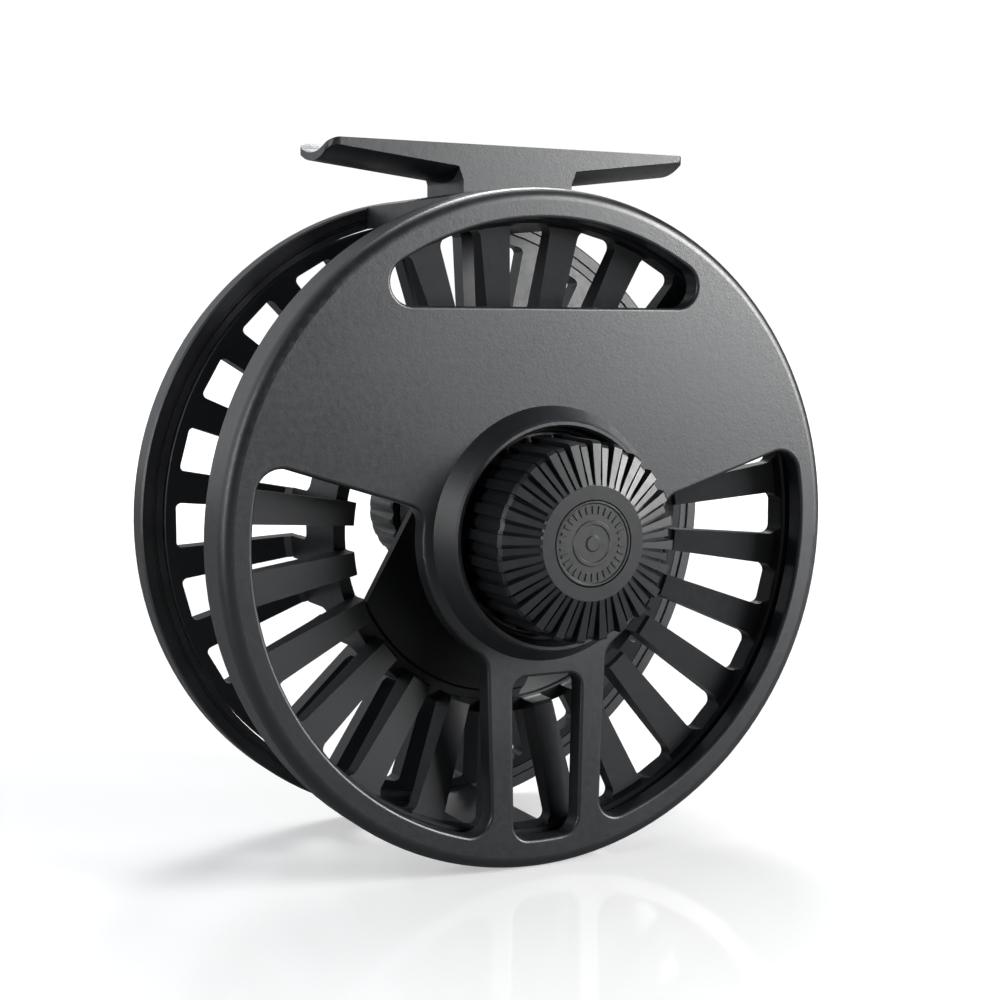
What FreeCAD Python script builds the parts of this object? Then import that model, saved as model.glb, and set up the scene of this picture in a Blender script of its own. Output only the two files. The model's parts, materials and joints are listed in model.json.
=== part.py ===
import FreeCAD, Part
import Sketcher
import math
import os

# Fly reel with a one-piece full-cage frame, ported large-arbor spool and a disc drag.
# Everything is modelled about the spool axis: Y is the spool axis with the drag knob
# towards -Y and the crank towards +Y, Z is up towards the rod, X runs along the rod.
# One common Placement then puts the origin at the centre of the foot's saddle.

Vec = FreeCAD.Vector
doc = FreeCAD.newDocument("FlyReel")
sheet = doc.addObject("Spreadsheet::Sheet", "Sheet")


class Dim:
    """A length from the sheet that keeps its own expression through arithmetic."""

    def __init__(self, value, text):
        self.value = float(value)
        self.text = text

    def _bin(self, other, sign, flip=False):
        o = other if isinstance(other, Dim) else Dim(other, repr(float(other)))
        a, b = (o, self) if flip else (self, o)
        if sign == "+":
            v = a.value + b.value
        elif sign == "-":
            v = a.value - b.value
        elif sign == "*":
            v = a.value * b.value
        else:
            v = a.value / b.value
        return Dim(v, "(%s %s %s)" % (a.text, sign, b.text))

    def __add__(self, o):
        return self._bin(o, "+")

    def __radd__(self, o):
        return self._bin(o, "+", True)

    def __sub__(self, o):
        return self._bin(o, "-")

    def __rsub__(self, o):
        return self._bin(o, "-", True)

    def __mul__(self, o):
        return self._bin(o, "*")

    def __rmul__(self, o):
        return self._bin(o, "*", True)

    def __truediv__(self, o):
        return self._bin(o, "/")

    def __neg__(self):
        return Dim(-self.value, "(-1 * %s)" % self.text)


def val(d):
    return d.value if isinstance(d, Dim) else float(d)


def bind(obj, prop, d):
    if isinstance(d, Dim):
        obj.setExpression(prop, d.text)


D = {}
DIMENSIONS = [
    ("reel_radius", 55.0), ("rim_round", 2.0), ("skirt_depth", 8.0), ("plate_thick", 3.2),
    ("cage_bore", 51.65), ("window_radius", 50.15),
    ("ring_front", 39.6), ("ring_back", 44.2), ("ring_radius", 55.3),
    ("boss_base", 20.6), ("boss_lip", 18.1), ("boss_mouth", 17.4), ("boss_height", 3.8),
    ("recess_floor", 1.0), ("hub_bore", 4.2), ("pad_radius", 22.3),
    ("chord_height", 36.2), ("side_window_top_in", 4.67),
    ("strut_out_top", 11.0), ("strut_out_low", 10.0), ("strut_in_top", 6.35), ("strut_in_low", 5.9),
    ("mid_window_top", 23.1), ("bar_top_half", 14.3), ("bar_low_half", 6.2), ("bar_out", 55.3),
    ("seat_left", -8.0), ("seat_right", 12.5), ("seat_level", 54.2),
    ("foot_center_x", 1.6), ("foot_center_y", 22.2), ("foot_width", 13.8), ("foot_top", 62.6),
    ("foot_left", -31.5), ("foot_right", 34.7), ("saddle_sag", 2.0), ("foot_base_left", -7.9),
    ("foot_base_right", 12.4), ("foot_tip", 1.0), ("foot_root", 3.6), ("foot_belly", 2.3), ("foot_flare", 0.9),
    ("foot_corner_left", 2.0), ("foot_corner_right", 1.0), ("foot_screw_pitch", 7.4), ("foot_screw_shank", 1.55), ("foot_screw_head", 2.9),
    ("arbor_out", 31.3), ("arbor_in", 29.7), ("near_rim_front", 4.2), ("near_rim_back", 8.3),
    ("spool_radius", 51.35), ("slot_out", 49.5), ("slot_phase", 0.6), ("far_slot_phase", 0.4), ("far_slot_out", 49.5), ("slot_count", 24),
    ("slot_half_out", 3.8), ("slot_half_in", 2.15), ("far_face", 39.2), ("far_back", 42.6),
    ("web_front", 14.3), ("web_thick", 1.6), ("web_chord", 16.7), ("web_angle", 150.5),
    ("arbor_port_start", 26.3),
    ("spindle_radius", 3.0), ("housing_radius", 15.0), ("housing_bore", 13.6),
    ("housing_front", 3.2), ("housing_base", 5.0), ("cover_front", 11.2), ("cover_back", 13.2),
    ("disc_inner", 9.05), ("disc_outer", 13.2), ("knob_front", -13.9), ("knob_core", 15.0),
    ("knob_plateau", 8.95), ("knob_rib", 16.1), ("rib_count", 24), ("rib_phase", 85.5), ("knob_back", -0.2),
    ("cap_radius", 6.7), ("cap_tick_count", 30), ("nut_flats", 10.0), ("drive_flats", 11.0),
    ("pin_circle", 7.6), ("pin_radius", 1.1), ("housing_screw_circle", 10.4),
    ("release_radius", 11.0), ("release_front", 37.4), ("release_back", 48.6),
    ("handle_reach", 41.5), ("handle_angle", 23.1), ("handle_pad", 6.4), ("handle_post_radius", 2.2),
    ("handle_start", 44.5), ("handle_end", 66.0), ("ball_circle", 13.4), ("ball_radius", 1.15),
]
for row, (alias, number) in enumerate(DIMENSIONS, start=1):
    sheet.set("A%d" % row, alias)
    sheet.set("B%d" % row, str(number))
    sheet.setAlias("B%d" % row, alias)
    D[alias] = Dim(number, "Sheet.%s" % alias)
doc.recompute()


def d(alias):
    return D[alias]


SADDLE_Z = d("foot_top") - d("saddle_sag")
PARTS = []


def place(obj):
    obj.Placement = FreeCAD.Placement(
        Vec(-val(d("foot_center_x")), -val(d("foot_center_y")), -val(SADDLE_Z)), FreeCAD.Rotation())
    obj.setExpression("Placement.Base.x", (-d("foot_center_x")).text)
    obj.setExpression("Placement.Base.y", (-d("foot_center_y")).text)
    obj.setExpression("Placement.Base.z", (-SADDLE_Z).text)


def new_body(name):
    body = doc.addObject("PartDesign::Body", name)
    body.Label = name
    place(body)
    PARTS.append(body)
    return body


def origin(body, role):
    for item in body.Origin.OriginFeatures:
        if item.Role == role:
            return item
    raise RuntimeError(role)


def start_sketch(body, name, role, offset=None, turn=None, turn_axis=(0, 0, 1)):
    sk = body.newObject("Sketcher::SketchObject", name)
    sk.AttachmentSupport = [(origin(body, role), "")]
    sk.MapMode = "FlatFace"
    rot = FreeCAD.Rotation(Vec(*turn_axis), val(turn)) if turn is not None else FreeCAD.Rotation()
    sk.AttachmentOffset = FreeCAD.Placement(Vec(0, 0, val(offset) if offset is not None else 0), rot)
    if isinstance(offset, Dim):
        sk.setExpression("AttachmentOffset.Base.z", offset.text)
    return sk


def fix_point(sk, geo, pos, x, y, tag, do_x=True, do_y=True):
    for want, value, kind, axis in ((do_x, x, "DistanceX", -2), (do_y, y, "DistanceY", -1)):
        if not want:
            continue
        if abs(val(value)) < 1e-9 and not isinstance(value, Dim):
            sk.addConstraint(Sketcher.Constraint("PointOnObject", geo, pos, axis))
            continue
        i = sk.addConstraint(Sketcher.Constraint(kind, -1, 1, geo, pos, val(value)))
        label = "%s_%s" % (tag, kind[-1].lower())
        sk.renameConstraint(i, label)
        if isinstance(value, Dim):
            sk.setExpression("Constraints." + label, value.text)


def outline(sk, verts, arcs=None, tag="p"):
    """Closed outline. arcs maps a segment's index to (radius, swings counter-clockwise) about the
    sketch origin. Each vertex is (x, y) or (x, y, 'x') to fix only x because an arc carries it."""
    arcs = arcs or {}
    n = len(verts)
    first = sk.GeometryCount
    geos = []
    for i in range(n):
        a, b = verts[i], verts[(i + 1) % n]
        pa, pb = Vec(val(a[0]), val(a[1]), 0), Vec(val(b[0]), val(b[1]), 0)
        if i in arcs:
            radius, ccw = arcs[i]
            t0 = math.atan2(pa.y, pa.x)
            t1 = math.atan2(pb.y, pb.x)
            if not ccw:
                t0, t1 = t1, t0
            while t1 <= t0:
                t1 += 2 * math.pi
            geos.append(sk.addGeometry(Part.ArcOfCircle(
                Part.Circle(Vec(0, 0, 0), Vec(0, 0, 1), val(radius)), t0, t1), False))
        else:
            geos.append(sk.addGeometry(Part.LineSegment(pa, pb), False))

    def end(i, which):
        if i in arcs and not arcs[i][1]:
            which = 3 - which
        return geos[i], which

    for i in range(n):
        g0, p0 = end(i, 2)
        g1, p1 = end((i + 1) % n, 1)
        sk.addConstraint(Sketcher.Constraint("Coincident", g0, p0, g1, p1))
    for i in arcs:
        sk.addConstraint(Sketcher.Constraint("Coincident", geos[i], 3, -1, 1))
        c = sk.addConstraint(Sketcher.Constraint("Radius", geos[i], val(arcs[i][0])))
        sk.renameConstraint(c, "%s_arc%d" % (tag, i))
        if isinstance(arcs[i][0], Dim):
            sk.setExpression("Constraints.%s_arc%d" % (tag, i), arcs[i][0].text)
    for i in range(n):
        only = verts[i][2] if len(verts[i]) > 2 else "xy"
        g, p = end(i, 1)
        fix_point(sk, g, p, verts[i][0], verts[i][1], "%s%d" % (tag, i), "x" in only, "y" in only)
    return sk


def rounded(sk, verts, tag="q"):
    """Straight-sided closed outline; each vertex is (x, y, corner radius)."""
    n = len(verts)
    pts = [Vec(val(v[0]), val(v[1]), 0) for v in verts]
    lines, cuts = [], []
    for i in range(n):
        p, q, s = pts[i - 1], pts[i], pts[(i + 1) % n]
        r = val(verts[i][2])
        if r <= 0:
            cuts.append((q, q, None))
            continue
        a, b = (p - q).normalize(), (s - q).normalize()
        half = a.getAngle(b) / 2
        t = r / math.tan(half)
        mid = (a + b).normalize() * (r / math.sin(half)) + q
        cuts.append((q + a * t, q + b * t, mid))
    for i in range(n):
        lines.append(sk.addGeometry(Part.LineSegment(cuts[i][1], cuts[(i + 1) % n][0]), False))
    for i in range(n):
        g_in, g_out = lines[i - 1], lines[i]
        if cuts[i][2] is None:
            sk.addConstraint(Sketcher.Constraint("Coincident", g_in, 2, g_out, 1))
            fix_point(sk, g_out, 1, verts[i][0], verts[i][1], "%s%d" % (tag, i))
            continue
        c, r = cuts[i][2], val(verts[i][2])
        u, w = cuts[i][0] - c, cuts[i][1] - c
        t0, t1 = math.atan2(u.y, u.x), math.atan2(w.y, w.x)
        turn = (t1 - t0) % (2 * math.pi)
        swap = turn > math.pi
        if swap:
            t0, t1 = t1, t0
        arc = sk.addGeometry(Part.ArcOfCircle(Part.Circle(c, Vec(0, 0, 1), r), t0, t0 + ((t1 - t0) % (2 * math.pi))), False)
        e_in, e_out = (2, 1) if swap else (1, 2)
        sk.addConstraint(Sketcher.Constraint("Tangent", g_in, 2, arc, e_in))
        sk.addConstraint(Sketcher.Constraint("Tangent", g_out, 1, arc, e_out))
        k = sk.addConstraint(Sketcher.Constraint("Radius", arc, r))
        sk.renameConstraint(k, "%s%d_r" % (tag, i))
        if isinstance(verts[i][2], Dim):
            sk.setExpression("Constraints.%s%d_r" % (tag, i), verts[i][2].text)
        point = sk.addGeometry(Part.Point(pts[i]), True)
        sk.addConstraint(Sketcher.Constraint("PointOnObject", point, 1, g_in))
        sk.addConstraint(Sketcher.Constraint("PointOnObject", point, 1, g_out))
        fix_point(sk, point, 1, verts[i][0], verts[i][1], "%s%d" % (tag, i))
    return sk


def circles(sk, items, tag="c"):
    for i, (x, y, r) in enumerate(items):
        g = sk.addGeometry(Part.Circle(Vec(val(x), val(y), 0), Vec(0, 0, 1), val(r)), False)
        if val(x) == 0 and val(y) == 0:
            sk.addConstraint(Sketcher.Constraint("Coincident", g, 3, -1, 1))
        else:
            fix_point(sk, g, 3, x, y, "%s%d" % (tag, i))
        k = sk.addConstraint(Sketcher.Constraint("Radius", g, val(r)))
        sk.renameConstraint(k, "%s%d_r" % (tag, i))
        if isinstance(r, Dim):
            sk.setExpression("Constraints.%s%d_r" % (tag, i), r.text)
    return sk


def revolve(body, name, verts, cut=False):
    """Profile points are (radius, y) and turn about the spool axis."""
    sk = start_sketch(body, name + "_sketch", "XY_Plane")
    outline(sk, verts)
    kind = "PartDesign::Groove" if cut else "PartDesign::Revolution"
    f = body.newObject(kind, name)
    f.Profile = (sk, [""])
    f.ReferenceAxis = (sk, ["V_Axis"])
    f.Angle = 360
    sk.Visibility = False
    doc.recompute()
    return f


def pad_y(body, name, draw, y_from, length, cut=False):
    """Extrude a sketch drawn in X-Z from y_from towards +Y."""
    sk = start_sketch(body, name + "_sketch", "XZ_Plane", -y_from if isinstance(y_from, Dim) else -float(y_from))
    draw(sk)
    f = body.newObject("PartDesign::Pocket" if cut else "PartDesign::Pad", name)
    f.Profile = (sk, [""])
    f.Length = val(length)
    bind(f, "Length", length)
    f.Reversed = not cut
    sk.Visibility = False
    before = body.Shape.Volume if cut and not body.Shape.isNull() else None
    doc.recompute()
    if cut and before is not None and abs(f.Shape.Volume - before) < 1e-6:
        raise RuntimeError(name + " cuts nothing")
    return f


def around(body, name, feature, count):
    pat = body.newObject("PartDesign::PolarPattern", name)
    pat.Originals = [feature] if not isinstance(feature, list) else feature
    pat.Axis = (origin(body, "Y_Axis"), [""])
    pat.Angle = 360
    pat.Occurrences = int(val(count))
    if isinstance(count, Dim):
        pat.setExpression("Occurrences", count.text)
    body.Tip = pat
    doc.recompute()
    return pat


def soften(body, name, pick, radius, kind="PartDesign::Fillet"):
    """Round the edges that pick(edge) accepts, if the result stays valid."""
    base = body.Tip
    names = ["Edge%d" % (i + 1) for i, e in enumerate(base.Shape.Edges) if pick(e)]
    if not names:
        raise RuntimeError(name + " finds no edge")
    f = body.newObject(kind, name)
    f.Base = (base, names)
    if kind.endswith("Fillet"):
        f.Radius = val(radius)
        bind(f, "Radius", radius)
    else:
        f.Size = val(radius)
        bind(f, "Size", radius)
    doc.recompute()
    if "Invalid" in f.State or "Error" in f.State or f.Shape.isNull() or not f.Shape.isValid():
        body.removeObject(f)
        doc.removeObject(f.Name)
        body.Tip = base
        doc.recompute()
        print("left sharp:", name)
        return None
    return f


def polar(radius, degrees):
    a = math.radians(val(degrees))
    return radius * math.cos(a), radius * math.sin(a)


def along_y(e):
    if not isinstance(e.Curve, Part.Line):
        return False
    t = e.Vertexes[1].Point - e.Vertexes[0].Point
    return abs(t.x) < 1e-6 and abs(t.z) < 1e-6


# ---------------------------------------------------------------- frame
frame = new_body("frame")
R, RR, Wd = d("reel_radius"), d("ring_radius"), d("window_radius")
revolve(frame, "near_plate", [
    (d("hub_bore"), d("recess_floor")), (d("boss_mouth"), d("recess_floor")),
    (d("boss_mouth"), -d("boss_height") + 0.5), (d("boss_mouth") + 0.35, -d("boss_height")),
    (d("boss_lip") + 0.15, -d("boss_height")), (d("boss_lip") + 0.5, -d("boss_height") + 0.35),
    (d("boss_base"), 0.0), (R, 0.0), (R, d("skirt_depth")), (d("cage_bore"), d("skirt_depth")),
    (d("cage_bore"), d("plate_thick")), (d("hub_bore"), d("plate_thick"))])

ro, ri = d("bar_out"), d("cage_bore")


def top_bar(sk):
    hb = d("bar_top_half")
    outline(sk, [(-hb, Dim(math.sqrt(val(ri) ** 2 - val(hb) ** 2), ""), "x"),
                 (hb, Dim(math.sqrt(val(ri) ** 2 - val(hb) ** 2), ""), "x"),
                 (hb, Dim(math.sqrt(val(ro) ** 2 - val(hb) ** 2), ""), "x"),
                 (-hb, Dim(math.sqrt(val(ro) ** 2 - val(hb) ** 2), ""), "x")],
            {0: (ri, False), 2: (ro, True)})


def low_bar(sk):
    hb = d("bar_low_half")
    zi, zo = -math.sqrt(val(ri) ** 2 - val(hb) ** 2), -math.sqrt(val(R) ** 2 - val(hb) ** 2)
    outline(sk, [(-hb, zi, "x"), (hb, zi, "x"), (hb, zo, "x"), (-hb, zo, "x")],
            {0: (ri, True), 2: (R, False)})


pad_y(frame, "top_crossbar", top_bar, d("skirt_depth") - 0.6, d("ring_front") - d("skirt_depth") + 1.2)
pad_y(frame, "low_crossbar", low_bar, d("skirt_depth") - 0.6, d("ring_front") - d("skirt_depth") + 1.2)
revolve(frame, "far_ring", [
    (d("cage_bore"), d("ring_front")), (d("cage_bore") + 1.0, d("ring_front")),
    (d("cage_bore") + 1.15, d("ring_front") + 0.35), (d("cage_bore") + 1.55, d("ring_front") + 0.35),
    (d("cage_bore") + 1.7, d("ring_front")), (RR - 0.3, d("ring_front")), (RR, d("ring_front") + 0.3),
    (RR, d("ring_back") - 0.3), (RR - 0.3, d("ring_back")), (d("cage_bore"), d("ring_back"))])


# windows in the near plate
def top_window(sk):
    c = d("chord_height")
    x = math.sqrt(val(Wd) ** 2 - val(c) ** 2)
    outline(sk, [(-x, c, "y"), (x, c, "y")], {1: (Wd, True)})


def side_window(side):
    def draw(sk):
        pad, s = d("pad_radius"), side
        # upper edge: straight, rising outwards from the hub pad to the rim
        xo = 48.42
        zi = val(d("side_window_top_in"))
        xi = math.sqrt(val(pad) ** 2 - zi ** 2)
        zo = math.sqrt(val(Wd) ** 2 - xo ** 2)
        xa = val(d("strut_out_top"))
        za = -math.sqrt(val(pad) ** 2 - xa ** 2)
        xb = val(d("strut_out_low"))
        zb = -math.sqrt(val(Wd) ** 2 - xb ** 2)
        v = [(s * xo, zo, "x"), (s * xi, zi, "y"), (s * xa, za, "x"), (s * xb, zb, "x")]
        # bind the strut edge to the sheet
        v[2] = (d("strut_out_top") * float(s), za, "x")
        v[3] = (d("strut_out_low") * float(s), zb, "x")
        outline(sk, v, {1: (pad, s < 0), 3: (Wd, s > 0)})
    return draw


def mid_window(sk):
    t, a, b = d("mid_window_top"), d("strut_in_top"), d("strut_in_low")
    zb = -math.sqrt(val(Wd) ** 2 - val(b) ** 2)
    outline(sk, [(-a, -t), (a, -t), (b, zb, "x"), (-b, zb, "x")], {2: (Wd, False)})


cut_len = d("plate_thick") + 2.0


def window(name, draw):
    sk = start_sketch(frame, name + "_sketch", "XZ_Plane", 1.0)
    draw(sk)
    f = frame.newObject("PartDesign::Pocket", name)
    f.Profile = (sk, [""])
    f.Length = val(cut_len)
    f.setExpression("Length", cut_len.text)
    f.Reversed = False
    before = frame.Shape.Volume
    doc.recompute()
    if before - f.Shape.Volume < 50:
        raise RuntimeError("window %s cuts %.3f" % (name, before - f.Shape.Volume))
    sk.Visibility = False
    return f


window("top_window", top_window)
window("left_window", side_window(-1))
window("right_window", side_window(1))
window("mid_window", mid_window)


def window_corner(lo, hi, zlo, zhi):
    def pick(e):
        if not along_y(e) or e.Length > val(d("plate_thick")) + 0.01:
            return False
        p = e.Vertexes[0].Point
        r = math.hypot(p.x, p.z)
        return lo < abs(p.x) < hi and zlo < p.z < zhi and 20 < r < 50.6
    return pick


soften(frame, "top_window_ends", window_corner(30, 40, 36, 37), 3.6)
soften(frame, "side_window_tops", window_corner(40, 50, 5, 20), 4.0)
soften(frame, "side_window_hub_tops", window_corner(18, 25, 0, 8), 3.0)
soften(frame, "side_window_hub_lows", window_corner(10, 12, -25, -15), 3.6)
soften(frame, "side_window_lows", window_corner(9, 11, -52, -45), 3.4)
soften(frame, "mid_window_tops", window_corner(6, 7, -25, -20), 2.4)
soften(frame, "mid_window_lows", window_corner(5, 6.2, -52, -45), 3.0)


def front_rim(e):
    return (isinstance(e.Curve, Part.Circle) and abs(e.Curve.Radius - val(R)) < 1e-6
            and abs(e.Curve.Center.y) < 1e-6)


soften(frame, "rim_round", front_rim, d("rim_round"))


def window_front_edges(e):
    ys = [v.Point.y for v in e.Vertexes]
    if any(abs(y) > 1e-6 for y in ys):
        return False
    rs = [math.hypot(v.Point.x, v.Point.z) for v in e.Vertexes]
    return all(21.5 < r < 50.6 for r in rs) and len(e.Vertexes) == 2


soften(frame, "window_front_round", window_front_edges, 0.55)


# foot seat, and through holes for the drag's pins and the housing and foot screws
def seat(sk):
    w = d("foot_width") / 2 + 0.15
    c = d("foot_center_y")
    rounded(sk, [(d("seat_left"), c - w, 0), (d("seat_right"), c - w, 0), (d("seat_right"), c + w, 0), (d("seat_left"), c + w, 0)])


sk = start_sketch(frame, "foot_seat_sketch", "XY_Plane", d("seat_level"))
seat(sk)
f = frame.newObject("PartDesign::Pocket", "foot_seat")
f.Profile = (sk, [""])
f.Length = 4
before = frame.Shape.Volume
f.Reversed = True
doc.recompute()
if before - f.Shape.Volume < 1:
    f.Reversed = False
    doc.recompute()
if not 1 < before - f.Shape.Volume < 2000:
    raise RuntimeError("foot seat %.3f" % (before - f.Shape.Volume))
sk.Visibility = False

screw_x = (d("seat_left") + d("seat_right")) / 2
sk = start_sketch(frame, "foot_holes_sketch", "XY_Plane", 50.0)
circles(sk, [(screw_x, d("foot_center_y") - d("foot_screw_pitch") / 2, d("foot_screw_shank") + 0.05),
             (screw_x, d("foot_center_y") + d("foot_screw_pitch") / 2, d("foot_screw_shank") + 0.05)])
f = frame.newObject("PartDesign::Pocket", "foot_holes")
f.Profile = (sk, [""])
f.Length = 6
f.Reversed = True
doc.recompute()
sk.Visibility = False
sk = start_sketch(frame, "foot_heads_sketch", "XY_Plane", 50.0)
circles(sk, [(screw_x, d("foot_center_y") - d("foot_screw_pitch") / 2, d("foot_screw_head") + 0.1),
             (screw_x, d("foot_center_y") + d("foot_screw_pitch") / 2, d("foot_screw_head") + 0.1)])
f = frame.newObject("PartDesign::Pocket", "foot_heads")
f.Profile = (sk, [""])
f.Length = 3.0
f.Reversed = True
doc.recompute()
sk.Visibility = False


def ring_of(radius, r, start, count=3):
    return [(polar(radius, start + 360.0 * k / count)[0], polar(radius, start + 360.0 * k / count)[1], r)
            for k in range(count)]


def hole_y(body, name, items, y_from, length):
    """Round holes along Y from y_from towards +Y."""
    sk = start_sketch(body, name + "_sketch", "XZ_Plane", -y_from)
    circles(sk, items)
    f = body.newObject("PartDesign::Pocket", name)
    f.Profile = (sk, [""])
    f.Length = val(length)
    bind(f, "Length", length)
    before = body.Shape.Volume
    f.Reversed = False
    doc.recompute()
    if before - f.Shape.Volume < 1e-3:
        raise RuntimeError(name + " cuts nothing")
    sk.Visibility = False
    return f


hole_y(frame, "pin_holes", ring_of(d("pin_circle"), d("pin_radius") + 0.1, 90), 0.5, d("plate_thick"))
hole_y(frame, "housing_screw_holes", ring_of(d("housing_screw_circle"), 1.1, 30), 0.5, d("plate_thick"))

# ---------------------------------------------------------------- reel foot
foot = new_body("reel_foot")


def arc_section(sk, half, z_edge_top, sag, z_edge_low, belly):
    """Crescent: hollow top between two lips, full belly below; drawn in Y-Z about foot_center_y."""
    cy = d("foot_center_y")
    yl, yr = cy - half, cy + half

    def arc(pa, pb, mid):
        return Part.Arc(Vec(val(pa[0]), val(pa[1]), 0), Vec(val(mid[0]), val(mid[1]), 0), Vec(val(pb[0]), val(pb[1]), 0))

    g_top = sk.addGeometry(arc((yl, z_edge_top), (yr, z_edge_top), (cy, z_edge_top - sag)), False)
    g_r = sk.addGeometry(Part.LineSegment(Vec(val(yr), val(z_edge_top), 0), Vec(val(yr), val(z_edge_low), 0)), False)
    g_low = sk.addGeometry(arc((yr, z_edge_low), (yl, z_edge_low), (cy, z_edge_low - belly)), False)
    g_l = sk.addGeometry(Part.LineSegment(Vec(val(yl), val(z_edge_low), 0), Vec(val(yl), val(z_edge_top), 0)), False)

    def near(g, p, x, y):
        q = sk.getPoint(g, p)
        return abs(q.x - val(x)) < 1e-4 and abs(q.y - val(y)) < 1e-4

    tl = 1 if near(g_top, 1, yl, z_edge_top) else 2
    lr = 1 if near(g_low, 1, yr, z_edge_low) else 2
    sk.addConstraint(Sketcher.Constraint("Coincident", g_top, 3 - tl, g_r, 1))
    sk.addConstraint(Sketcher.Constraint("Coincident", g_r, 2, g_low, lr))
    sk.addConstraint(Sketcher.Constraint("Coincident", g_low, 3 - lr, g_l, 1))
    sk.addConstraint(Sketcher.Constraint("Coincident", g_l, 2, g_top, tl))
    for g, p, x, y, tag in ((g_r, 1, yr, z_edge_top, "tr"), (g_r, 2, yr, z_edge_low, "lr"),
                            (g_l, 1, yl, z_edge_low, "ll"), (g_l, 2, yl, z_edge_top, "tl")):
        fix_point(sk, g, p, x, y, tag)
    for g, s, tag in ((g_top, sag, "r_top"), (g_low, belly, "r_low")):
        rad = (half * half + s * s) / (s * 2.0) if isinstance(s, Dim) or isinstance(half, Dim) else (half * half + s * s) / (2 * s)
        k = sk.addConstraint(Sketcher.Constraint("Radius", g, val(rad)))
        sk.renameConstraint(k, tag)
        if isinstance(rad, Dim):
            sk.setExpression("Constraints." + tag, rad.text)


def foot_section(name, x, thick):
    sk = start_sketch(foot, name, "YZ_Plane", x)
    arc_section(sk, d("foot_width") / 2, d("foot_top"), d("saddle_sag"), d("foot_top") - thick, d("foot_belly"))
    sk.Visibility = False
    return sk


s1 = foot_section("foot_left_tip", d("foot_left"), d("foot_tip"))
s2 = foot_section("foot_left_root", d("foot_base_left") - d("foot_flare"), d("foot_root"))
s3 = foot_section("foot_right_root", d("foot_base_right") + d("foot_flare"), d("foot_root"))
s4 = foot_section("foot_right_tip", d("foot_right"), d("foot_tip"))
doc.recompute()
loft = foot.newObject("PartDesign::AdditiveLoft", "foot_blade")
loft.Profile = (s1, [""])
loft.Sections = [(s2, [""]), (s3, [""]), (s4, [""])]
loft.Ruled = True
doc.recompute()


def pedestal(sk):
    rounded(sk, [(d("foot_base_left"), d("seat_level"), 0), (d("foot_base_right"), d("seat_level"), 0),
                 (d("foot_base_right"), d("seat_level") + 2.6, 1.6), (d("foot_base_right") + d("foot_flare"), d("foot_top") - d("foot_root") + 0.1, 0),
                 (d("foot_base_right") - 1.0, d("foot_top") - 2.3, 0), (d("foot_base_left") + 1.0, d("foot_top") - 2.3, 0),
                 (d("foot_base_left") - d("foot_flare"), d("foot_top") - d("foot_root") + 0.1, 0), (d("foot_base_left"), d("seat_level") + 2.6, 1.6)])


pad_y(foot, "pedestal", pedestal, d("foot_center_y") - d("foot_width") / 2, d("foot_width"))


def saddle_cut(sk):
    half, s = d("foot_width") / 2, d("saddle_sag")
    rad = (half * half + s * s) / (s * 2.0)
    circles(sk, [(d("foot_center_y"), d("foot_top") - s + rad, rad)])


sk = start_sketch(foot, "saddle_sketch", "YZ_Plane", d("foot_left") - 1.0)
saddle_cut(sk)
f = foot.newObject("PartDesign::Pocket", "saddle")
f.Profile = (sk, [""])
f.Length = val(d("foot_right") - d("foot_left") + 2.0)
f.setExpression("Length", (d("foot_right") - d("foot_left") + 2.0).text)
f.Reversed = True
doc.recompute()
sk.Visibility = False


def foot_plan(sk):
    x0, x1 = d("foot_left"), d("foot_right")
    y0, y1 = d("foot_center_y") - d("foot_width") / 2, d("foot_center_y") + d("foot_width") / 2
    rounded(sk, [(x0 - 2.0, y0 - 2.0, 0), (x1 + 2.0, y0 - 2.0, 0), (x1 + 2.0, y1 + 2.0, 0), (x0 - 2.0, y1 + 2.0, 0)], tag="o")
    cl, cr = d("foot_corner_left"), d("foot_corner_right")
    rounded(sk, [(x0, y0, cl), (x1, y0, cr), (x1, y1, cr), (x0, y1, cl)], tag="i")


sk = start_sketch(foot, "foot_plan_sketch", "XY_Plane", 50.0)
foot_plan(sk)
f = foot.newObject("PartDesign::Pocket", "foot_corners")
f.Profile = (sk, [""])
f.Length = 20
f.Reversed = True
before = foot.Shape.Volume
doc.recompute()
if before - f.Shape.Volume < 1:
    raise RuntimeError("foot corners")
sk.Visibility = False


sk = start_sketch(foot, "foot_tapped_sketch", "XY_Plane", d("seat_level") - 0.5)
circles(sk, [(screw_x, d("foot_center_y") - d("foot_screw_pitch") / 2, d("foot_screw_shank") + 0.03),
             (screw_x, d("foot_center_y") + d("foot_screw_pitch") / 2, d("foot_screw_shank") + 0.03)])
f = foot.newObject("PartDesign::Pocket", "foot_tapped")
f.Profile = (sk, [""])
f.Length = 5.0
f.Reversed = True
doc.recompute()
sk.Visibility = False


# foot screws: two socket screws from inside the cage
def grouped(name, shapes):
    obj = doc.addObject("Part::Feature", name)
    obj.Label = name
    obj.Shape = Part.makeCompound(shapes)
    place(obj)
    PARTS.append(obj)
    return obj


def cell(alias):
    return float(sheet.get(alias))


screws = []
for sign in (-1, 1):
    x0 = (cell("seat_left") + cell("seat_right")) / 2
    y0 = cell("foot_center_y") + sign * cell("foot_screw_pitch") / 2
    head, shank = cell("foot_screw_head"), cell("foot_screw_shank")
    s = Part.makeCylinder(head, 1.1, Vec(x0, y0, 51.85)).fuse(
        Part.makeCylinder(shank, 6.7, Vec(x0, y0, 51.9))).removeSplitter()
    s = s.cut(Part.Face(Part.makePolygon([Vec(x0 + 1.2 * math.cos(a), y0 + 1.2 * math.sin(a), 51.0)
                                          for a in [math.pi / 3 * k for k in range(7)]])).extrude(Vec(0, 0, 1.5)))
    screws.append(s)
grouped("foot_screws", screws)

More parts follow.
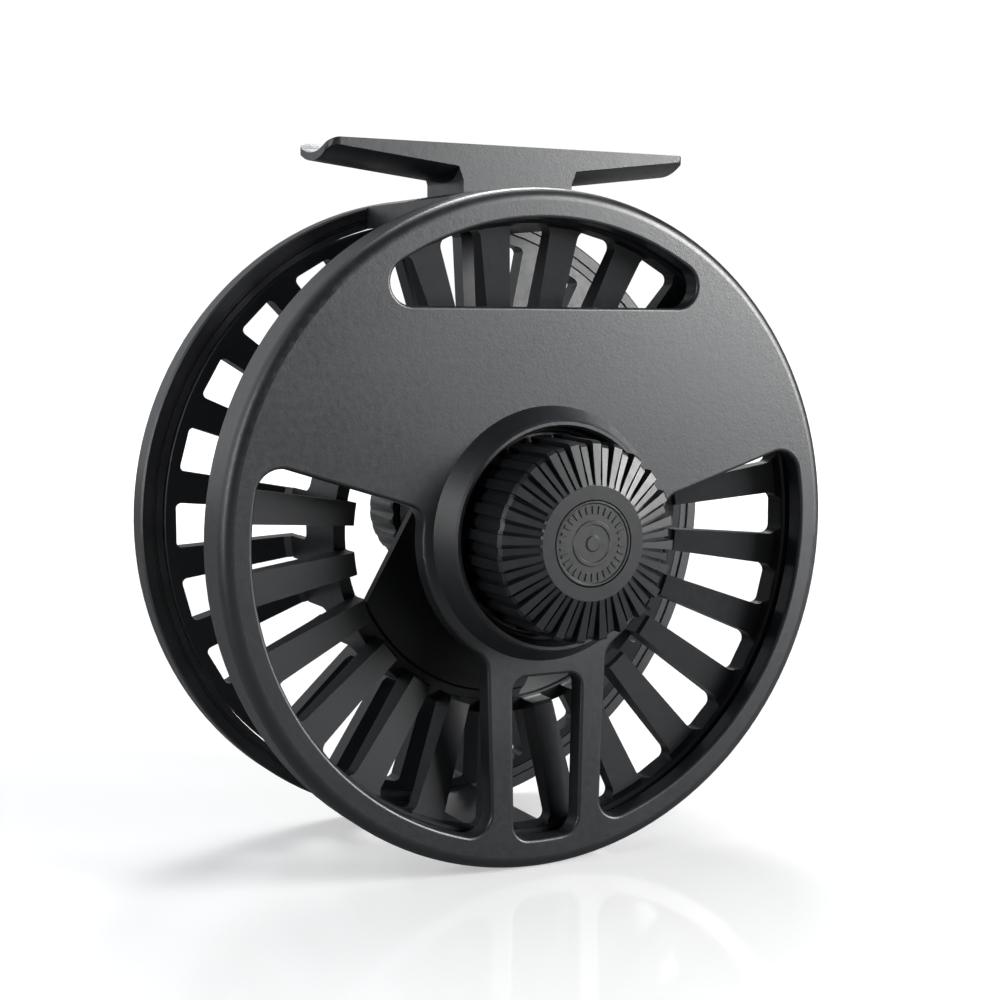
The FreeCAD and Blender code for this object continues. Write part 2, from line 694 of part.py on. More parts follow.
# ---------------------------------------------------------------- drag housing
housing = new_body("drag_housing")
revolve(housing, "cup", [
    (d("hub_bore") + 0.02, d("housing_front")), (d("housing_radius"), d("housing_front")),
    (d("housing_radius"), d("cover_front")), (d("housing_bore"), d("cover_front")),
    (d("housing_bore"), d("housing_base")), (d("hub_bore") + 0.02, d("housing_base"))])
hole_y(housing, "pin_holes_h", ring_of(d("pin_circle"), d("pin_radius") + 0.1, 90), 2.5, 4.0)
hole_y(housing, "tapped_holes", ring_of(d("housing_screw_circle"), 0.98, 30), 2.5, 4.0)

cover = new_body("drag_cover")
revolve(cover, "lid", [
    (7.6, d("cover_front")), (d("housing_radius"), d("cover_front")),
    (d("housing_radius"), d("cover_back") - 0.5), (d("housing_radius") - 0.5, d("cover_back")), (7.6, d("cover_back"))])
spanner = ring_of(11.5, 0.9, 0, 4)
hole_y(cover, "spanner_holes", spanner, 12.4, 1.5)

seal = new_body("cover_seal")
revolve(seal, "lip_seal", [(5.04, d("cover_back") - 0.7), (7.58, d("cover_back") - 0.7), (7.58, d("cover_back") - 0.05),
                           (6.2, d("cover_back") - 0.05), (6.0, d("cover_back") - 0.35), (5.6, d("cover_back") - 0.35),
                           (5.04, d("cover_back") - 0.05)])

screws = []
for k in range(3):
    a = math.radians(30 + 120 * k)
    x0, z0 = cell("housing_screw_circle") * math.cos(a), cell("housing_screw_circle") * math.sin(a)
    s = Part.makeCylinder(1.7, 1.0, Vec(x0, 0.0, z0), Vec(0, 1, 0)).fuse(
        Part.makeCylinder(0.95, 4.6, Vec(x0, 0.2, z0), Vec(0, 1, 0))).removeSplitter()
    s = s.cut(Part.Face(Part.makePolygon([Vec(x0 + 0.8 * math.cos(b), -0.1, z0 + 0.8 * math.sin(b))
                                          for b in [math.pi / 3 * j for j in range(7)]])).extrude(Vec(0, 0.7, 0)))
    screws.append(s)
grouped("housing_screws", screws)

for name, start, inner, outer, thick in (
        ("friction_disc_1", 8.1, d("disc_inner"), d("disc_outer"), 0.6),
        ("steel_disc_1", 8.75, d("disc_inner") + 0.35, d("housing_bore") - 0.03, 0.5),
        ("friction_disc_2", 9.3, d("disc_inner"), d("disc_outer"), 0.6),
        ("steel_disc_2", 9.95, d("disc_inner") + 0.35, d("housing_bore") - 0.03, 0.5),
        ("friction_disc_3", 10.5, d("disc_inner"), d("disc_outer"), 0.6)):
    b = new_body(name)
    revolve(b, "ring", [(inner, start), (outer, start), (outer, start + thick), (inner, start + thick)])

plate = new_body("pressure_plate")
revolve(plate, "ring", [(7.4, 6.6), (d("disc_outer"), 6.6), (d("disc_outer"), 7.5), (7.4, 7.5)])

washers = []
for k in range(2):
    y0 = 5.32 + 0.62 * k
    pts = [(7.3, y0 + 0.22), (11.2, y0), (11.2, y0 + 0.36), (7.3, y0 + 0.58)] if k == 0 else \
          [(7.3, y0), (11.2, y0 + 0.22), (11.2, y0 + 0.58), (7.3, y0 + 0.36)]
    w = Part.Face(Part.makePolygon([Vec(r, y, 0) for r, y in pts] + [Vec(pts[0][0], pts[0][1], 0)]))
    washers.append(w.revolve(Vec(0, 0, 0), Vec(0, 1, 0), 360))
grouped("drag_springs", washers)

pins = []
for k in range(3):
    a = math.radians(90 + 120 * k)
    x0, z0 = cell("pin_circle") * math.cos(a), cell("pin_circle") * math.sin(a)
    pins.append(Part.makeCylinder(cell("pin_radius"), 7.05, Vec(x0, -1.78, z0), Vec(0, 1, 0)))
grouped("pressure_pins", pins)

ring = new_body("pressure_ring")
revolve(ring, "thrust_ring", [(3.6, -3.3), (9.2, -3.3), (9.2, -1.8), (3.6, -1.8)])

spindle = new_body("spindle")
sr = d("spindle_radius")
revolve(spindle, "shaft", [
    (0.0, -3.6), (1.0, -4.0), (1.0, -9.4), (sr - 0.4, -9.4), (sr, -9.0), (sr, -0.4), (5.6, -0.4), (5.6, d("recess_floor")),
    (d("hub_bore") - 0.05, d("recess_floor")), (d("hub_bore") - 0.05, d("housing_base")), (sr, d("housing_base")),
    (sr, 43.65), (sr - 0.7, 43.65), (sr - 0.7, 44.65), (sr, 44.65), (sr, 45.6), (sr - 0.6, 46.1), (0.0, 46.1)])


def hexagon(sk, flats, tag="h"):
    """Regular hexagon with two flats across Z."""
    r = val(flats) / math.sqrt(3.0)
    k = flats / math.sqrt(3.0)
    verts = []
    for i in range(6):
        a = math.pi / 3 * i
        verts.append((k * math.cos(a), k * math.sin(a) if i % 3 else 0.0))
    outline(sk, verts, tag=tag)


nut = new_body("drive_nut")


def nut_sketch(sk):
    hexagon(sk, d("nut_flats"))
    circles(sk, [(0.0, 0.0, d("spindle_radius") + 0.05)])


pad_y(nut, "hex_nut", nut_sketch, -6.4, 3.0)

rotor = new_body("drag_rotor")
revolve(rotor, "rotor_ring", [(7.02, 8.05), (9.0, 8.05), (9.0, 11.1), (7.02, 11.1)])
clutch = new_body("one_way_clutch")
revolve(clutch, "clutch_shell", [(5.0, 6.0), (7.0, 6.0), (7.0, 12.4), (5.0, 12.4), (5.0, 12.0), (5.5, 12.0), (5.5, 6.4), (5.0, 6.4)])
rollers = []
for k in range(12):
    a = 2 * math.pi * k / 12
    rollers.append(Part.makeCylinder(0.22, 5.4, Vec(5.24 * math.cos(a), 6.5, 5.24 * math.sin(a)), Vec(0, 1, 0)))
grouped("clutch_rollers", rollers)

sleeve = new_body("clutch_sleeve")
revolve(sleeve, "sleeve_tube", [(4.0, 5.6), (4.97, 5.6), (4.97, 13.7), (4.0, 13.7)])


def sleeve_hex(sk):
    hexagon(sk, d("drive_flats"))
    circles(sk, [(0.0, 0.0, 4.0)])


pad_y(sleeve, "sleeve_hexagon", sleeve_hex, 13.6, 7.0)
for name, start in (("sleeve_bushing_rear", 5.7), ("sleeve_bushing_front", 16.4)):
    b = new_body(name)
    revolve(b, "bush", [(sr + 0.04, start), (3.98, start), (3.98, start + 4.0), (sr + 0.04, start + 4.0)])

# ---------------------------------------------------------------- drag knob
knob = new_body("drag_knob")
kf, kb, kc = d("knob_front"), d("knob_back"), d("knob_core")
revolve(knob, "knob_core", [
    (1.65, -9.7), (1.65, -10.8), (3.6, -10.8), (3.6, kf + 1.4), (d("cap_radius") + 0.12, kf + 1.4), (d("cap_radius") + 0.12, kf),
    (d("knob_plateau"), kf), (d("knob_plateau") + 0.25, kf + 0.35), (kc - 0.5, kf + 2.85), (kc, kf + 3.4), (kc + 0.15, kb),
    (11.6, kb), (11.6, -9.7), (8.4, -9.7), (8.4, -4.0), (5.0, -4.0), (5.0, -9.7)])


def trapezoid(inner, outer, half_in, half_out, turn):
    def draw(sk):
        c, s = math.cos(math.radians(val(turn))), math.sin(math.radians(val(turn)))
        pts = []
        for r, h in ((inner, -half_in), (outer, -half_out), (outer, half_out), (inner, half_in)):
            pts.append((r * c - h * s, r * s + h * c))
        outline(sk, pts)
    return draw


low = pad_y(knob, "low_rib", trapezoid(d("knob_plateau") - 0.3, d("knob_core") + 0.9, 0.3, 0.62, d("rib_phase") + 7.5), kf + 0.05, kb - kf - 0.05)
around(knob, "low_ribs", low, d("rib_count"))
revolve(knob, "low_envelope", [
    (d("knob_plateau") + 0.05, kf - 1.0), (d("knob_plateau") + 0.05, kf + 0.12), (kc - 0.15, kf + 1.95), (kc + 0.3, kf + 2.5),
    (kc + 0.5, kb), (kc + 3.0, kb), (kc + 3.0, kf - 1.0)], cut=True)
tall = pad_y(knob, "tall_rib", trapezoid(d("knob_plateau") - 0.3, d("knob_rib") + 0.4, 0.38, 0.8, d("rib_phase")), kf + 0.01, kb - kf - 0.01)
around(knob, "tall_ribs", tall, d("rib_count"))
revolve(knob, "tall_envelope", [
    (d("knob_plateau") + 0.02, kf - 1.0), (d("knob_plateau") + 0.02, kf + 0.02), (d("knob_rib") - 0.75, kf + 1.35),
    (d("knob_rib") - 0.3, kf + 1.85), (d("knob_rib"), kb), (d("knob_rib") + 2.0, kb), (d("knob_rib") + 2.0, kf - 1.0)], cut=True)


revolve(knob, "rear_hollow", [(8.4, -9.7), (8.4, kb + 1.0), (11.6, kb + 1.0), (11.6, -9.7)], cut=True)
revolve(knob, "rear_recess", [(3.0, -4.0), (3.0, kb + 1.0), (9.0, kb + 1.0), (9.0, -4.0)], cut=True)


def socket(sk):
    hexagon(sk, d("nut_flats") + 0.2)


sk = start_sketch(knob, "hex_socket_sketch", "XZ_Plane", 9.7)
socket(sk)
f = knob.newObject("PartDesign::Pocket", "hex_socket")
f.Profile = (sk, [""])
f.Length = 6.0
before = knob.Shape.Volume
doc.recompute()
if before - f.Shape.Volume < 1:
    raise RuntimeError("hex socket")
sk.Visibility = False
bx, bz = polar(d("ball_circle"), 60)
hole_y(knob, "ball_pocket", [(bx, bz, d("ball_radius") + 0.08)], -6.2, 6.5)

cap = new_body("knob_cap")
cr = d("cap_radius")
revolve(cap, "cap_disc", [
    (0.0, kf + 0.02), (1.1, kf + 0.02), (1.3, kf + 0.2), (2.9, kf + 0.2), (3.0, kf + 0.02), (3.5, kf + 0.02), (3.6, kf + 0.2),
    (6.15, kf + 0.2), (6.35, kf), (cr - 0.15, kf), (cr, kf + 0.15), (cr, kf + 1.35), (0.0, kf + 1.35)])
tick = pad_y(cap, "tick", trapezoid(4.65, 5.85, 0.16, 0.22, 90.0), kf + 0.03, 0.3)
around(cap, "ticks", tick, d("cap_tick_count"))

kscrew = new_body("knob_screw")
revolve(kscrew, "screw_turned", [(0.0, -12.0), (1.2, -12.0), (1.2, -12.35), (3.0, -12.35), (3.2, -12.15), (3.2, -10.85), (1.5, -10.85),
                                 (1.5, -9.5), (0.95, -9.42), (0.95, -4.3), (0.0, -4.3)])

oring = doc.addObject("Part::Torus", "knob_seal")
oring.Label = "knob_seal"
oring.Radius1 = 16.7
oring.Radius2 = 0.5
oring.setExpression("Radius1", (d("boss_mouth") - 0.55).text)
sub = oring
sub.Placement = FreeCAD.Placement(
    Vec(-val(d("foot_center_x")), 0.48 - val(d("foot_center_y")), -val(SADDLE_Z)), FreeCAD.Rotation(Vec(1, 0, 0), 90))
sub.setExpression("Placement.Base.x", (-d("foot_center_x")).text)
sub.setExpression("Placement.Base.y", (0.48 - d("foot_center_y")).text)
sub.setExpression("Placement.Base.z", (-SADDLE_Z).text)
PARTS.append(oring)

detent = new_body("detent_disc")
revolve(detent, "click_ring", [(12.2, 0.45), (15.0, 0.45), (15.0, d("recess_floor") - 0.01), (12.2, d("recess_floor") - 0.01)])
dimple = hole_y(detent, "dimple", [(0.0, d("ball_circle"), 0.6)], 0.1, 0.6)
around(detent, "dimples", dimple, 24)

ball = doc.addObject("Part::Sphere", "detent_ball")
ball.Label = "detent_ball"
ball.Radius = 1.15
ball.setExpression("Radius", d("ball_radius").text)
px, pz = cell("ball_circle") * math.cos(math.radians(60)), cell("ball_circle") * math.sin(math.radians(60))
ball.Placement = FreeCAD.Placement(Vec(px - cell("foot_center_x"), -0.76 - cell("foot_center_y"), pz - val(SADDLE_Z)), FreeCAD.Rotation())
ball.setExpression("Placement.Base.x", (bx - d("foot_center_x")).text)
ball.setExpression("Placement.Base.y", (-0.76 - d("foot_center_y")).text)
ball.setExpression("Placement.Base.z", (bz - SADDLE_Z).text)
PARTS.append(ball)


def coil(name, radius, wire, turns, start, height):
    pitch = height / turns
    helix = Part.makeHelix(pitch, height, radius)
    prof = Part.makePolygon([Vec(radius + wire * math.cos(a), 0, wire * math.sin(a))
                             for a in [math.pi / 4 * k + math.pi / 8 for k in range(9)]])
    solid = Part.Wire(helix).makePipeShell([prof], True, True)
    solid.rotate(Vec(0, 0, 0), Vec(1, 0, 0), -90)
    solid.translate(start)
    return grouped(name, [solid])


coil("detent_spring", 0.85, 0.15, 4.25, Vec(px, -6.0, pz), 3.9)

# ---------------------------------------------------------------- spool
spool = new_body("spool")
SR, ao, ai = d("spool_radius"), d("arbor_out"), d("arbor_in")
wf, wb = d("web_front"), d("web_front") + d("web_thick")
nf, nb = d("near_rim_front"), d("near_rim_back")
revolve(spool, "spool_turned", [
    (9.0, 13.9), (12.0, 13.9), (12.0, wf), (28.0, wf), (28.4, wf + 0.4), (ai, wf + 0.4), (ai, 13.6), (ao + 0.45, 13.6),
    (ao, 14.2), (ao, 33.6), (ai, 33.6), (ai, wb), (12.0, wb), (12.0, 22.0), (8.0, 24.0), (8.0, 36.0), (9.5, 38.0), (9.5, 43.55),
    (6.0, 43.55), (6.0, 39.4), (6.4, 39.4), (6.4, 38.62), (6.0, 38.62), (6.0, 34.5), (3.6, 34.5), (3.6, 21.1), (9.0, 21.1)])
near_flange = new_body("spool_flange_near")
revolve(near_flange, "flange_turned", [
    (ai, 13.6), (ai, 13.2), (ai + 0.15, 12.6), (ai + 0.15, 9.7), (ai + 0.6, 9.1),
    (SR - 2.1, nf + 1.9), (SR - 1.75, nf + 0.35), (SR - 1.4, nf), (SR - 0.4, nf), (SR, nf + 0.4),
    (SR, nb - 0.5), (SR - 0.5, nb), (ao + 0.6, 13.4), (ao + 0.45, 13.6)])
far_flange = new_body("spool_flange_far")
revolve(far_flange, "flange_turned_f", [
    (ai, 33.6), (ao, 33.6), (ao + 0.9, 34.6), (SR - 0.15, d("far_face")), (SR, d("far_face") + 0.15), (SR, d("far_back") - 0.5),
    (SR - 0.5, d("far_back")), (SR - 2.0, d("far_back") - 0.2), (ao + 0.9, 37.9), (ai, 37.2)])


def slot(inner, outer, half_in, half_out, round_in, round_out, turn):
    def draw(sk):
        c, s = math.cos(math.radians(turn)), math.sin(math.radians(turn))
        pts = []
        for r, h, rr in ((inner, -1 * half_in, round_in), (outer, -1 * half_out, round_out),
                         (outer, half_out, round_out), (inner, half_in, round_in)):
            pts.append((r * c - h * s, r * s + h * c, rr))
        rounded(sk, pts)
    return draw


def pocket_y(body, name, draw, y_from, length):
    sk = start_sketch(body, name + "_sketch", "XZ_Plane", -y_from)
    draw(sk)
    f = body.newObject("PartDesign::Pocket", name)
    f.Profile = (sk, [""])
    f.Length = val(length)
    bind(f, "Length", length)
    before = body.Shape.Volume
    doc.recompute()
    if before - f.Shape.Volume < 1:
        raise RuntimeError(name + " cuts nothing")
    sk.Visibility = False
    return f


ph = val(d("slot_phase"))
n1 = pocket_y(near_flange, "near_slot", slot(Dim(28.0, "28.0"), d("slot_out"), d("slot_half_in") - 0.2, d("slot_half_out"), 0, 1.5, 90 + ph),
              3.0, 11.0)
around(near_flange, "near_slots", n1, d("slot_count"))
far_turn = 90 + val(d("far_slot_phase"))
n2 = pocket_y(far_flange, "far_slot", slot(Dim(29.0, "29.0"), d("far_slot_out"), d("slot_half_in"), d("slot_half_out"), 0, 0.9, far_turn),
              33.0, 14.0)
around(far_flange, "far_slots", n2, d("slot_count"))


def arbor_port(sk):
    w, y0 = d("slot_half_in"), d("arbor_port_start")
    rounded(sk, [(-w, y0, 1.4), (w, y0, 1.4), (w, 34.0, 0), (-w, 34.0, 0)])


sk = start_sketch(spool, "arbor_port_sketch", "XY_Plane", 28.0)
lean = math.radians(val(d("far_slot_phase")))
sk.AttachmentOffset = FreeCAD.Placement(Vec(-28.0 * math.sin(lean), 0, 28.0 * math.cos(lean)),
                                        FreeCAD.Rotation(Vec(0, 1, 0), -val(d("far_slot_phase"))))
arbor_port(sk)
f = spool.newObject("PartDesign::Pocket", "arbor_port")
f.Profile = (sk, [""])
f.Length = 6
f.Reversed = True
before = spool.Shape.Volume
doc.recompute()
if before - f.Shape.Volume < 1:
    raise RuntimeError("arbor port")
sk.Visibility = False
around(spool, "arbor_ports", f, d("slot_count"))


def segment(turn):
    def draw(sk):
        c = d("web_chord")
        r = ai - 0.3
        half = math.sqrt(val(r) ** 2 - val(c) ** 2)
        t = math.radians(turn)
        n = (math.cos(t), math.sin(t))
        # both ends of the chord lie on the arc: one coordinate is fixed and the arc carries the other
        pa = (val(c) * n[0] + half * n[1], val(c) * n[1] - half * n[0])
        pb = (val(c) * n[0] - half * n[1], val(c) * n[1] + half * n[0])
        outline(sk, [(pa[0], pa[1], "y" if abs(pa[1]) < abs(pa[0]) else "x"),
                     (pb[0], pb[1], "y" if abs(pb[1]) < abs(pb[0]) else "x")], {0: (r, True)})
    return draw


pocket_y(spool, "web_opening_a", segment(val(d("web_angle"))), d("web_front") - 0.3, d("web_thick") + 0.6)
pocket_y(spool, "web_opening_b", segment(val(d("web_angle")) + 180), d("web_front") - 0.3, d("web_thick") + 0.6)

hx, hz = polar(d("handle_reach"), val(d("handle_angle")))
pad_y(far_flange, "handle_boss", lambda s: circles(s, [(hx, hz, d("handle_pad"))]), d("far_face") - 1.2, 5.6)
hole_y(far_flange, "handle_hole", [(hx, hz, d("handle_post_radius") + 0.02)], 36.0, 9.0)
hole_y(far_flange, "handle_counterbore", [(hx, hz, 3.45)], 36.0, 3.3)

insert = new_body("drive_insert")


def insert_sketch(sk):
    circles(sk, [(0.0, 0.0, 8.98)])
    hexagon(sk, d("drive_flats") + 0.2)


pad_y(insert, "insert_ring", insert_sketch, 14.0, 7.0)

bearing = new_body("front_bearing")
revolve(bearing, "bearing_rings", [(sr + 0.03, 34.6), (3.9, 34.6), (4.0, 34.9), (5.2, 34.9), (5.3, 34.6), (5.98, 34.6), (5.98, 38.55),
                                   (5.3, 38.55), (5.2, 38.25), (4.0, 38.25), (3.9, 38.55), (sr + 0.03, 38.55)])
clip = new_body("bearing_circlip")


def clip_sketch(sk):
    circles(sk, [(0.0, 0.0, 6.3), (0.0, 0.0, 5.2)])


pad_y(clip, "clip_ring", clip_sketch, 38.65, 0.7)
pocket_y(clip, "clip_gap", lambda s: rounded(s, [(-1.0, 4.5, 0), (1.0, 4.5, 0), (1.0, 7.0, 0), (-1.0, 7.0, 0)]), 38.0, 2.0)

latch = new_body("latch_plate")


def latch_sketch(sk):
    rounded(sk, [(-6.2, -4.0, 1.2), (6.2, -4.0, 1.2), (6.2, 4.0, 1.2), (-6.2, 4.0, 1.2)])
    circles(sk, [(0.65, 0.0, 3.1)])


pad_y(latch, "latch_sheet", latch_sketch, 43.7, 0.9)

release = new_body("release_cap")
rr, rf, rb = d("release_radius"), d("release_front"), d("release_back")
revolve(release, "cap_turned", [
    (9.58, rf), (rr - 0.4, rf), (rr, rf + 0.4), (rr - 0.4, rb - 1.2), (rr - 1.4, rb - 0.2), (rr - 2.2, rb), (5.0, rb), (4.6, rb - 0.5),
    (0.0, rb - 0.5), (0.0, rb - 2.0), (9.58, rb - 2.0)])
flute = pocket_y(release, "flute", lambda s: circles(s, [(0.0, rr + 0.6, 1.2)]), rf - 0.5, rb - rf + 1.0)
around(release, "flutes", flute, 24)


def at_handle(obj):
    """Sub-part turned about the handle's own axis: same frame, moved onto the handle post."""
    obj.setExpression("Placement.Base.x", (hx - d("foot_center_x")).text)
    obj.setExpression("Placement.Base.z", (hz - SADDLE_Z).text)
    return obj


hs, he, hp = d("handle_start"), d("handle_end"), d("handle_post_radius")
post = at_handle(new_body("handle_post"))
revolve(post, "post_turned", [(0.0, 38.3), (3.2, 38.3), (3.4, 38.5), (3.4, 39.25), (hp, 39.25), (hp, he - 1.4), (hp - 0.3, he - 1.1), (0.0, he - 1.1)])
grip = at_handle(new_body("handle_knob"))
revolve(grip, "grip_turned", [
    (hp + 0.06, hs), (5.0, hs), (5.6, hs + 0.6), (5.2, hs + 3.0), (5.0, hs + 7.0), (5.6, hs + 12.0), (6.6, hs + 16.0), (7.2, hs + 18.6),
    (7.0, he - 1.2), (6.2, he), (4.2, he), (4.2, he - 3.2), (hp + 0.06, he - 3.2)])
for name, y0, outer in (("handle_washer_inner", 43.62, 4.6), ("handle_washer_outer", val(he) - 3.1, 4.0)):
    b = at_handle(new_body(name))
    revolve(b, "washer", [(hp + 0.03, y0), (outer, y0), (outer, y0 + 0.8), (hp + 0.03, y0 + 0.8)])
hscrew = at_handle(new_body("handle_screw"))
revolve(hscrew, "screw_cap", [(hp + 0.01, he - 2.2), (3.9, he - 2.2), (3.9, he - 0.6), (3.5, he - 0.25), (1.1, he - 0.25), (1.1, he - 0.8), (0.0, he - 0.8),
                              (0.0, he - 1.05), (hp + 0.01, he - 1.05)])

# ---------------------------------------------------------------- check and export
doc.recompute()
bad = []
for obj in doc.Objects:
    if "Invalid" in obj.State or "Error" in obj.State:
        bad.append(obj.Name)
    if hasattr(obj, "Shape") and obj in PARTS:
        if obj.Shape.isNull() or not obj.Shape.isValid():
            bad.append(obj.Name + " shape")
if bad:
    raise RuntimeError("bad objects: " + ", ".join(bad))
os.makedirs("parts", exist_ok=True)
for obj in PARTS:
    obj.Shape.exportStep("parts/%s.step" % obj.Label)
    print("%-24s solids %d volume %.1f" % (obj.Label, len(obj.Shape.Solids), obj.Shape.Volume))
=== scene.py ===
import json
import math

import bpy
from mathutils import Matrix, Vector

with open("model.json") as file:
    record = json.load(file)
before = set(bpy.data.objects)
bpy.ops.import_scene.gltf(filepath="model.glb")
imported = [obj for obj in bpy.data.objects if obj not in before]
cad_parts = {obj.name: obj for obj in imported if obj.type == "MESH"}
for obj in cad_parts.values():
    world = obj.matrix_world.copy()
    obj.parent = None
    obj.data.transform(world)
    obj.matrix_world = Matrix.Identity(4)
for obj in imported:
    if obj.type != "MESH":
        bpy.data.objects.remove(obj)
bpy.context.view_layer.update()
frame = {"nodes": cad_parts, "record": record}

NODES = frame["nodes"]


AXIS = Vector((-0.0016, 0.0, -0.0606))          # a point on the spool axis, which runs along Y
FLOOR_Z = -0.1156
FLOOR_GLOW = 0.42
FLOOR_BOUNCE = 0.25
SCENE = bpy.context.scene

# ------------------------------------------------------------------ node helpers


class Tree:
    """Small helper for building a shader tree."""

    def __init__(self, name):
        self.mat = bpy.data.materials.new(name)
        self.mat.use_nodes = True
        self.nt = self.mat.node_tree
        self.nt.nodes.clear()
        self.out = self.new("ShaderNodeOutputMaterial")
        self.bsdf = self.new("ShaderNodeBsdfPrincipled")
        self.link(self.bsdf.outputs[0], self.out.inputs["Surface"])
        self.coord = self.new("ShaderNodeTexCoord").outputs["Object"]

    def new(self, kind, **props):
        n = self.nt.nodes.new(kind)
        for k, v in props.items():
            setattr(n, k, v)
        return n

    def link(self, a, b):
        self.nt.links.new(a, b)

    def put(self, socket, value):
        if hasattr(value, "is_output") or hasattr(value, "links"):
            self.link(value, socket)
        else:
            socket.default_value = value

    def math(self, op, a, b=None, c=None, clamp=False):
        n = self.new("ShaderNodeMath", operation=op)
        n.use_clamp = clamp
        self.put(n.inputs[0], a)
        if b is not None:
            self.put(n.inputs[1], b)
        if c is not None:
            self.put(n.inputs[2], c)
        return n.outputs[0]

    def noise(self, scale, detail=2.0, rough=0.5, vector=None, out="Fac"):
        n = self.new("ShaderNodeTexNoise")
        self.link(vector or self.coord, n.inputs["Vector"])
        n.inputs["Scale"].default_value = scale
        n.inputs["Detail"].default_value = detail
        n.inputs["Roughness"].default_value = rough
        return n.outputs[out]

    def span(self, value, lo, hi, to_lo, to_hi, smooth=False):
        n = self.new("ShaderNodeMapRange")
        if smooth:
            n.interpolation_type = "SMOOTHSTEP"
        self.link(value, n.inputs["Value"])
        n.inputs["From Min"].default_value = lo
        n.inputs["From Max"].default_value = hi
        n.inputs["To Min"].default_value = to_lo
        n.inputs["To Max"].default_value = to_hi
        return n.outputs["Result"]

    def mix(self, fac, a, b):
        n = self.new("ShaderNodeMix", data_type="RGBA")
        self.put(n.inputs["Factor"], fac)
        self.put(n.inputs["A"], a)
        self.put(n.inputs["B"], b)
        return n.outputs["Result"]

    def bump(self, height, strength, distance, normal=None):
        n = self.new("ShaderNodeBump")
        n.inputs["Strength"].default_value = strength
        n.inputs["Distance"].default_value = distance
        self.link(height, n.inputs["Height"])
        if normal is not None:
            self.link(normal, n.inputs["Normal"])
        return n.outputs["Normal"]

    def radial(self, cx=AXIS.x, cz=AXIS.z):
        """Distance from an axis along Y through (cx, cz)."""
        sep = self.new("ShaderNodeSeparateXYZ")
        self.link(self.coord, sep.inputs[0])
        dx = self.math("SUBTRACT", sep.outputs["X"], cx)
        dz = self.math("SUBTRACT", sep.outputs["Z"], cz)
        r = self.math("SQRT", self.math("ADD", self.math("MULTIPLY", dx, dx), self.math("MULTIPLY", dz, dz)))
        return r, sep.outputs["Y"]

    def edges(self, radius, lo, hi):
        """1 on convex and concave edges, 0 on flats: how far a rounded normal leans from the real one."""
        b = self.new("ShaderNodeBevel")
        b.samples = 4
        b.inputs["Radius"].default_value = radius
        g = self.new("ShaderNodeNewGeometry")
        d = self.new("ShaderNodeVectorMath", operation="DOT_PRODUCT")
        self.link(b.outputs[0], d.inputs[0])
        self.link(g.outputs["Normal"], d.inputs[1])
        return self.span(d.outputs["Value"], lo, hi, 1.0, 0.0)


def rgba(c):
    return (c[0], c[1], c[2], 1.0)


def shade(c, k):
    return rgba([min(1.0, v * k) for v in c])


def anodised(name, base, rough, grain=0.16, grain_scale=2600.0, specular=0.5, coat=0.0, edge_glint_wear=0.35, metal=0.0):
    """Bead-blasted, dyed anodised aluminium: fine grain, uneven sheen, edges painted a little paler as a highlight
    that also stands for some wear.
    """
    t = Tree(name)
    fine = t.noise(grain_scale, 3.0, 0.6)
    broad = t.noise(38.0, 4.0, 0.55)
    fleck = t.noise(900.0, 2.0, 0.5)
    base_mix = t.mix(t.span(broad, 0.3, 0.7, 0.0, 1.0), shade(base, 0.88), shade(base, 1.14))
    base_mix = t.mix(t.span(fleck, 0.35, 0.65, 0.0, 0.5), base_mix, shade(base, 1.3))
    # painted highlight: convex and concave edges lightened toward a pale colour, partly standing for worn edges
    edge = t.edges(0.0004, 0.74, 0.93)
    edge_glint_wear_mask = t.math("MULTIPLY", edge, t.span(t.noise(240.0, 3.0, 0.6), 0.38, 0.62, 0.25, 1.0), clamp=True)
    colour = t.mix(t.math("MULTIPLY", edge_glint_wear_mask, edge_glint_wear), base_mix, rgba([base[0] * 3.2, base[1] * 3.15, base[2] * 3.1]))
    t.link(colour, t.bsdf.inputs["Base Color"])
    r = t.math("ADD", t.span(broad, 0.3, 0.7, rough - 0.035, rough + 0.035), t.span(fleck, 0.3, 0.7, -0.03, 0.03))
    r = t.math("SUBTRACT", r, t.math("MULTIPLY", edge_glint_wear_mask, 0.08), clamp=True)
    t.link(r, t.bsdf.inputs["Roughness"])
    t.link(t.bump(fine, grain, 0.00006, t.bump(fleck, grain * 0.5, 0.00008)), t.bsdf.inputs["Normal"])
    t.bsdf.inputs["Metallic"].default_value = metal
    t.bsdf.inputs["Specular IOR Level"].default_value = specular
    t.bsdf.inputs["Coat Weight"].default_value = coat
    t.bsdf.inputs["Coat Roughness"].default_value = 0.18
    return t.mat


def turned(name, base, rough, lines=5200.0, depth=0.2, cx=AXIS.x, cz=AXIS.z, metal=1.0):
    """Lathe-turned metal: fine rings about an axis along Y, with a smudged sheen."""
    t = Tree(name)
    r, y = t.radial(cx, cz)
    v = t.new("ShaderNodeCombineXYZ")
    t.link(r, v.inputs["X"])
    t.link(y, v.inputs["Y"])
    rings = t.noise(lines, 2.0, 0.7, vector=v.outputs[0])
    broad = t.noise(120.0, 3.0, 0.5)
    colour = t.mix(t.span(rings, 0.3, 0.7, 0.0, 1.0), shade(base, 0.82), shade(base, 1.1))
    colour = t.mix(t.span(broad, 0.35, 0.7, 0.0, 0.35), colour, shade(base, 0.7))
    t.link(colour, t.bsdf.inputs["Base Color"])
    t.link(t.math("ADD", t.span(broad, 0.3, 0.7, rough - 0.06, rough + 0.07), t.span(rings, 0.3, 0.7, -0.04, 0.04)),
           t.bsdf.inputs["Roughness"])
    t.link(t.bump(rings, depth, 0.00004), t.bsdf.inputs["Normal"])
    t.bsdf.inputs["Metallic"].default_value = metal
    return t.mat


